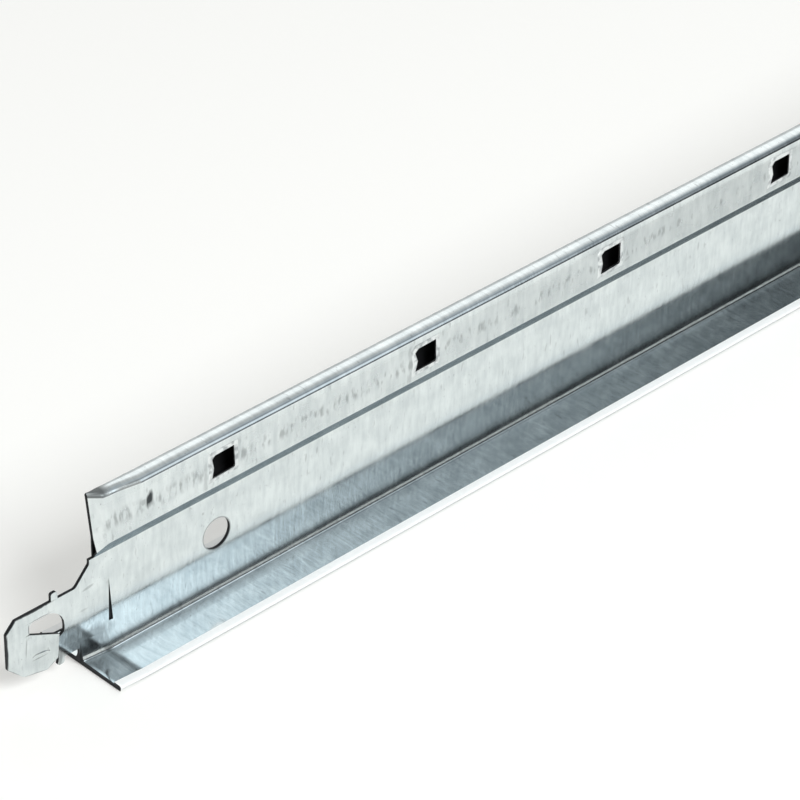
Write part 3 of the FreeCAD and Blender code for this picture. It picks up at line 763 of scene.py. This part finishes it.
def hot_dip_galvanised_steel():
    """Bright zinc: soft mirror with fine streaks across the strip, scuffed on the bulb, with patches of
    painted shade.
    """
    material, tree = new_material("hot_dip_galvanised_steel")
    place = add_node(tree, "TexCoord").outputs["Object"]
    millimetres = add_node(tree, "VectorMath", {0: place, "Scale": 1 / MM}, operation="SCALE").outputs[0]
    axes = add_node(tree, "SeparateXYZ", {0: millimetres}).outputs
    grains = zinc_grains(tree, millimetres)
    shares = zinc_shares(tree, axes, grains)
    near_side = add_node(tree, "Math", {
        0: shares["near_face"], 1: shares["on_crown"]}, operation="MAXIMUM").outputs[0]

    # Grain, roll smudges on the bulb, wear, the wire hole's rim, nicks, and painted shade on the crown's
    # near corner, the squeezed end's crown and the sloping shoulder under the bulb
    layers = [[shares[name] for name in names] for names in (
        ("dashes",),
        ("specks",),
        ("stripe", "ticks", "near_face", "above_web", "below_crown"),
        ("past_square", "near_square", "patches", "near_face", "above_web", "below_crown"),
        ("wear", "near_face", "above_web", "below_crown"),
        ("hole_ring",),
        ("far_edge", "nicks", "crown_top"),
        ("painted_shade_bend_start", "bend_stop", "near_bend"),
        ("painted_shade_tip", "crown_top"),
        ("painted_shade_shoulder", "shoulder_top", "full_bulb"),
    )]
    dark = darkest(tree, layers + marks_and_painted_shade_layers(tree, axes, grains, near_side))

    colour = add_node(tree, "Mix", {
        "Factor": shares["tone"], COLOUR_A: linear("#CDD4D5"), COLOUR_B: linear("#E2E8E8"),
    }, data_type="RGBA").outputs[COLOUR_OUT]
    # Marks and painted shade both darken the colour towards this near black
    stained_and_shaded = add_node(tree, "Mix", {
        "Factor": dark, COLOUR_A: colour, COLOUR_B: linear("#2A2E31"),
    }, data_type="RGBA").outputs[COLOUR_OUT]
    scuffed = add_node(tree, "Math", {
        0: shares["scuffs"], 1: shares["below_crown"]}, operation="MULTIPLY").outputs[0]
    dull_crown = add_node(tree, "Math", {
        0: shares["dull_tip"], 1: shares["crown_top"]}, operation="MULTIPLY").outputs[0]
    dulled = add_node(tree, "Math", {0: scuffed, 1: dull_crown}, operation="MAXIMUM").outputs[0]
    roughness = add_node(tree, "Math", {0: shares["gloss"], 1: dulled}, operation="ADD").outputs[0]
    bump = add_node(tree, "Bump", {
        "Height": grains["streaks"], "Strength": 0.15, "Distance": 0.1 * MM}).outputs[0]
    shader = add_node(tree, "BsdfPrincipled", {
        "Base Color": stained_and_shaded, "Metallic": 1.0, "Roughness": roughness, "Normal": bump})
    add_node(tree, "OutputMaterial", {"Surface": shader.outputs[0]})
    return material


def scraped_zinc():
    """Zinc scraped by the punch round each square hole: pale, dull and torn."""
    material, tree = new_material("scraped_zinc")
    place = add_node(tree, "TexCoord").outputs["Object"]
    tears = add_node(tree, "TexNoise", {
        "Vector": place, "Scale": TEARS_PER_MM / MM, "Detail": 4.0}).outputs[0]
    tone = add_node(tree, "MapRange", {"Value": tears, "From Min": 0.36, "From Max": 0.55}).outputs[0]
    colour = add_node(tree, "Mix", {
        "Factor": tone, COLOUR_A: linear("#B0B5B7"), COLOUR_B: linear("#E6EAEA"),
    }, data_type="RGBA").outputs[COLOUR_OUT]
    bump = add_node(tree, "Bump", {"Height": tears, "Strength": 0.3, "Distance": 0.2 * MM}).outputs[0]
    shader = add_node(tree, "BsdfPrincipled", {
        "Base Color": colour, "Metallic": 1.0, "Roughness": 0.34, "Normal": bump})
    add_node(tree, "OutputMaterial", {"Surface": shader.outputs[0]})
    return material


def sheared_steel_edge():
    """Bare steel where the strip was cut: nearly black, dull and fine-grained."""
    material, tree = new_material("sheared_steel_edge")
    place = add_node(tree, "TexCoord").outputs["Object"]
    grain = add_node(tree, "TexNoise", {
        "Vector": place, "Scale": EDGE_GRAINS_PER_MM / MM, "Detail": 2.0}).outputs[0]
    colour = add_node(tree, "Mix", {
        "Factor": grain, COLOUR_A: linear("#121417"), COLOUR_B: linear("#26292D"),
    }, data_type="RGBA").outputs[COLOUR_OUT]
    shader = add_node(tree, "BsdfPrincipled", {"Base Color": colour, "Metallic": 0.6, "Roughness": 0.6})
    add_node(tree, "OutputMaterial", {"Surface": shader.outputs[0]})
    return material


def coil_coated_white():
    """Matt white coil coating: almost flat, with a painted contact shadow along the foot of the folded edge.
    """
    material, tree = new_material("coil_coated_white")
    place = add_node(tree, "TexCoord").outputs["Object"]
    peel = add_node(tree, "TexNoise", {"Vector": place, "Scale": PEEL_PER_MM / MM, "Detail": 2.0}).outputs[0]
    bump = add_node(tree, "Bump", {"Height": peel, "Strength": 0.1, "Distance": 0.1 * MM}).outputs[0]
    colour = add_node(tree, "Mix", {
        "Factor": peel, COLOUR_A: linear("#F0F3F4"), COLOUR_B: linear("#F9FAFA"),
    }, data_type="RGBA").outputs[COLOUR_OUT]

    # Painted contact shadow, grey and low on the outermost half millimetre, where the fold meets the floor
    axes = add_node(tree, "SeparateXYZ", {0: place}).outputs
    aside = add_node(tree, "Math", {0: axes["Y"]}, operation="ABSOLUTE").outputs[0]
    at_edge = add_node(tree, "MapRange", {
        "Value": aside, "From Min": 11.5 * MM, "From Max": 11.6 * MM}).outputs[0]
    foot = add_node(tree, "MapRange", {
        "Value": axes["Z"], "From Min": 0.25 * MM, "From Max": 0.55 * MM,
        "To Min": 0.8, "To Max": 0.0}).outputs[0]
    painted_shadow = add_node(tree, "Math", {0: at_edge, 1: foot}, operation="MULTIPLY").outputs[0]
    shadowed_white = add_node(tree, "Mix", {
        "Factor": painted_shadow, COLOUR_A: colour, COLOUR_B: linear("#7E8183"),
    }, data_type="RGBA").outputs[COLOUR_OUT]
    shader = add_node(tree, "BsdfPrincipled", {
        "Base Color": shadowed_white, "Roughness": 0.42, "IOR": 1.5, "Normal": bump})
    add_node(tree, "OutputMaterial", {"Surface": shader.outputs[0]})
    return material


def painted_shade_inside():
    """The strip's inner face, seen through the square holes: painted shade, a dull black for the dark hollow
    of the bulb.
    """
    material, tree = new_material("painted_shade_zinc_inside")
    place = add_node(tree, "TexCoord").outputs["Object"]
    grain = add_node(tree, "TexNoise", {"Vector": place, "Scale": SMUTS_PER_MM / MM}).outputs[0]
    colour = add_node(tree, "Mix", {
        "Factor": grain, COLOUR_A: linear("#0A0B0D"), COLOUR_B: linear("#15171A"),
    }, data_type="RGBA").outputs[COLOUR_OUT]
    shader = add_node(tree, "BsdfPrincipled", {"Base Color": colour, "Roughness": 0.9, "IOR": 1.45})
    add_node(tree, "OutputMaterial", {"Surface": shader.outputs[0]})
    return material


zinc = hot_dip_galvanised_steel()
scraped = scraped_zinc()
sheared = sheared_steel_edge()
white = coil_coated_white()
steel = (zinc, sheared, painted_shade_inside())

web = new_piece("galvanised_tee_sheet", make_web, steel)
for name, maker in (("flange", make_flange), ("flaps", make_flaps)):
    boolean(web, new_piece(name, maker, steel), "UNION")
boolean(web, new_piece("creases", make_crease_cutters, steel), "DIFFERENCE")
bulb = new_piece("bulb", make_bulb, steel)
boolean(bulb, new_piece("squares", make_square_cutters, steel), "DIFFERENCE")
boolean(web, bulb, "UNION")

cap = new_piece("painted_cap_sheet", make_cap, (white, sheared))
burrs = new_piece("square_hole_burrs", make_burrs, (scraped,))
beads = new_piece("spring_flap_beads", make_flap_beads, (zinc,))

for piece in (web, cap, burrs, beads):
    piece.data.polygons.foreach_set("use_smooth", [True] * len(piece.data.polygons))
    piece.data.set_sharp_from_angle(angle=SHARP_ANGLE)
    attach(piece, BODY)
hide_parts("galvanised_tee")
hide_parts("painted_cap")


# Floor, light and camera

WHITE = (1, 1, 1, 1)
FLOOR_HALF = 6.0
FLOOR_GLOW = 0.13


def white_paper():
    """Matt white paper, lifted to white for the camera and in the metal, with its shadow kept."""
    material, tree = new_material("white_paper_floor")
    ray = add_node(tree, "LightPath")
    seen = add_node(tree, "Math", {
        0: ray.outputs["Is Camera Ray"], 1: ray.outputs["Is Glossy Ray"]}, operation="MAXIMUM").outputs[0]
    share = add_node(tree, "Math", {0: seen, 1: FLOOR_GLOW}, operation="MULTIPLY").outputs[0]
    diffuse = add_node(tree, "BsdfDiffuse", {"Color": linear("#F2F2F0")}).outputs[0]
    glow = add_node(tree, "Emission", {"Color": WHITE, "Strength": share}).outputs[0]
    both = add_node(tree, "AddShader", {0: diffuse, 1: glow}).outputs[0]
    add_node(tree, "OutputMaterial", {"Surface": both})
    return material


def make_floor():
    mesh = bpy.data.meshes.new("floor")
    corners = [(x * FLOOR_HALF, y * FLOOR_HALF, 0) for x, y in ((-1, -1), (1, -1), (1, 1), (-1, 1))]
    mesh.from_pydata(corners, [], [(0, 1, 2, 3)])
    floor = bpy.data.objects.new("floor", mesh)
    bpy.context.scene.collection.objects.link(floor)
    mesh.materials.append(white_paper())


make_floor()


def soft_box(name, place, target, width, height, watts, colour):
    lamp = bpy.data.lights.new(name, "AREA")
    lamp.shape = "RECTANGLE"
    lamp.size = width
    lamp.size_y = height
    lamp.energy = watts
    lamp.color = colour
    box = bpy.data.objects.new(name, lamp)
    box.location = place
    box.rotation_euler = (Vector(target) - Vector(place)).to_track_quat("-Z", "Y").to_euler()
    bpy.context.scene.collection.objects.link(box)


soft_box(
    "front_soft_box", place=(-0.3, -1.0, 0.95), target=(-0.2, 0, 0),
    width=0.7, height=0.6, watts=11.5, colour=(0.97, 0.99, 1.0))

# Brightness of the front wall from left to right, as its direction's X component
FRONT_WALL = [
    (0.50, 1.70), (0.535, 1.42), (0.56, 0.63), (0.585, 0.58), (0.61, 0.41), (0.64, 0.35),
    (0.675, 0.15), (0.70, 0.06),
]
WALL_START, WALL_STOP, WALL_TOP = 0.45, 0.70, 1.75
OVERHEAD_LEVEL = 0.55
SIDE_LEVEL = 0.62
FRONT_TINT = (0.90, 0.98, 1.05, 1)
BACK_TINT = (0.99, 1.0, 1.0, 1)
SIDE_TINT = (1.0, 0.985, 0.95, 1)


def studio():
    """A plain room: a front wall that fades to the right, a brighter one behind, dim warm sides."""
    world = bpy.data.worlds.new("studio")
    bpy.context.scene.world = world
    world.use_nodes = True
    world.node_tree.nodes.clear()
    tree = world.node_tree
    direction = add_node(tree, "TexCoord").outputs["Generated"]
    toward = add_node(tree, "SeparateXYZ", {0: direction}).outputs

    # Parts of the room: name, the direction's component that is read, its limits, and the values there
    shares = {}
    for name, axis, start, stop, first, last in (
        ("along", "X", WALL_START, WALL_STOP, 0.0, 1.0),
        ("side", "X", 0.25, 0.45, 0.0, 1.0),
        ("foot", "Z", 0.30, 0.42, 0.12, 1.0),
        ("overhead", "Z", 0.66, 0.80, 0.0, 1.0),
        ("back_foot", "Z", 0.26, 0.42, 0.65, 1.3),
        ("back_top", "Z", 0.66, 0.80, 1.0, 0.46),
        ("behind", "Y", 0.0, 0.25, 0.0, 1.0),
    ):
        shares[name] = add_node(tree, "MapRange", {
            "Value": toward[axis], "From Min": start, "From Max": stop, "To Min": first, "To Max": last,
        }).outputs[0]
    fade = add_node(tree, "ValToRGB", {0: shares["along"]})
    stops = fade.color_ramp.elements
    while len(stops) < len(FRONT_WALL):
        stops.new(0.5)
    for stop, (x, level) in zip(stops, FRONT_WALL):
        stop.position = (x - WALL_START) / (WALL_STOP - WALL_START)
        stop.color = (level / WALL_TOP,) * 3 + (1.0,)
    wall = add_node(tree, "Math", {0: fade.outputs[0], 1: WALL_TOP}, operation="MULTIPLY").outputs[0]
    low_front = add_node(tree, "Math", {0: wall, 1: shares["foot"]}, operation="MULTIPLY").outputs[0]
    front = add_node(tree, "Mix", {
        0: shares["overhead"], NUMBER_A: low_front, NUMBER_B: OVERHEAD_LEVEL}).outputs[0]
    back = add_node(tree, "Math", {0: shares["back_foot"], 1: shares["back_top"]}, operation="MULTIPLY")
    walls = add_node(tree, "Mix", {
        0: shares["behind"], NUMBER_A: front, NUMBER_B: back.outputs[0]}).outputs[0]
    room = add_node(tree, "Mix", {
        0: shares["side"], NUMBER_A: SIDE_LEVEL, NUMBER_B: walls}).outputs[0]
    seen = add_node(tree, "LightPath").outputs["Is Camera Ray"]
    strength = add_node(tree, "Math", {0: room, 1: seen}, operation="MAXIMUM").outputs[0]
    wall_tint = add_node(tree, "Mix", {
        0: shares["behind"], COLOUR_A: FRONT_TINT, COLOUR_B: BACK_TINT,
    }, data_type="RGBA").outputs[COLOUR_OUT]
    cool = add_node(tree, "Mix", {
        0: shares["side"], COLOUR_A: SIDE_TINT, COLOUR_B: wall_tint,
    }, data_type="RGBA").outputs[COLOUR_OUT]
    tint = add_node(tree, "Mix", {
        0: seen, COLOUR_A: cool, COLOUR_B: WHITE,
    }, data_type="RGBA").outputs[COLOUR_OUT]
    sky = add_node(tree, "Background", {"Color": tint, "Strength": strength}).outputs[0]
    add_node(tree, "OutputWorld", {"Surface": sky})


studio()

CAMERA_AZIMUTH = math.radians(45.43)
CAMERA_ELEVATION = math.radians(33.80)
CAMERA_ROLL = math.radians(-1.352)
CAMERA_PLACE = Vector((-639.89, -424.74, 427.22)) * MM
SENSOR_WIDTH = 36
FOCAL_LENGTH = 160.6
NEAREST_SEEN = 0.01
ahead = Vector((
    math.sin(CAMERA_AZIMUTH) * math.cos(CAMERA_ELEVATION),
    math.cos(CAMERA_AZIMUTH) * math.cos(CAMERA_ELEVATION),
    -math.sin(CAMERA_ELEVATION),
))
level = Vector((math.cos(CAMERA_AZIMUTH), -math.sin(CAMERA_AZIMUTH), 0))
below = ahead.cross(level)
right = math.cos(CAMERA_ROLL) * level + math.sin(CAMERA_ROLL) * below
down = math.cos(CAMERA_ROLL) * below - math.sin(CAMERA_ROLL) * level
lens = bpy.data.cameras.new("camera")
lens.sensor_width = SENSOR_WIDTH
lens.lens = FOCAL_LENGTH
lens.clip_start = NEAREST_SEEN
camera = bpy.data.objects.new("camera", lens)
camera.matrix_world = Matrix.Translation(CAMERA_PLACE) @ Matrix((right, -down, -ahead)).transposed().to_4x4()
bpy.context.scene.collection.objects.link(camera)
bpy.context.scene.camera = camera
bpy.context.scene.view_settings.view_transform = "Standard"
